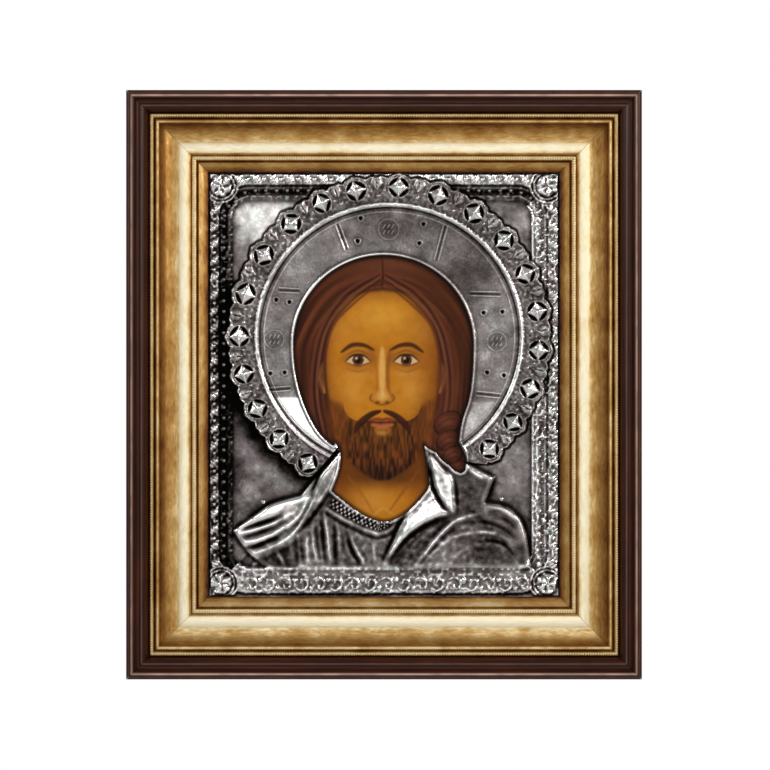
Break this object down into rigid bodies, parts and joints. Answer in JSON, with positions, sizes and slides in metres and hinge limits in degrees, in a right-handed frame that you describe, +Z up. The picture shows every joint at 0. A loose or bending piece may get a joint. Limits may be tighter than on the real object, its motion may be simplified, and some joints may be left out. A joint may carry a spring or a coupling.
{
  "type": "framed icon panel",
  "caption": "Framed icon panel: painted board under an embossed silver cover with a pierced window for the head and a separate scalloped halo, in nested dark and gilt mouldings.",
  "frame": {"origin": "the hanging point on the flat back of the top rail, 22 mm below the frame's top edge and midway across", "axes": "+X to the viewer's right across the panel, +Z up along its long side, +Y out of its back into the wall, so the front faces -Y"},
  "size_m": [0.28, 0.034, 0.32],
  "materials": {
    "dark_wood": "dark red-brown stain under a satin lacquer",
    "gilt_wood": "metal leaf over a moulded wooden core, toned darker in the cove and grooves",
    "painted_board": "egg tempera on gesso, varnished, on a bare wooden board",
    "oxidised_silver": "silver plate on embossed brass sheet, darkened in the hollows and polished on the crests",
    "bright_nail": "bright plated nail head"
  },
  "bodies": {
    "root": {"outer_rail_bottom": "dark_wood", "outer_rail_right": "dark_wood", "outer_rail_top": "dark_wood", "outer_rail_left": "dark_wood", "gilt_rail_bottom": "gilt_wood", "gilt_rail_right": "gilt_wood", "gilt_rail_top": "gilt_wood", "gilt_rail_left": "gilt_wood", "icon_board": "painted_board", "riza_cover": "oxidised_silver", "halo": "oxidised_silver", "cover_nail_left": "bright_nail", "cover_nail_right": "bright_nail"}
  },
  "joints": []
}
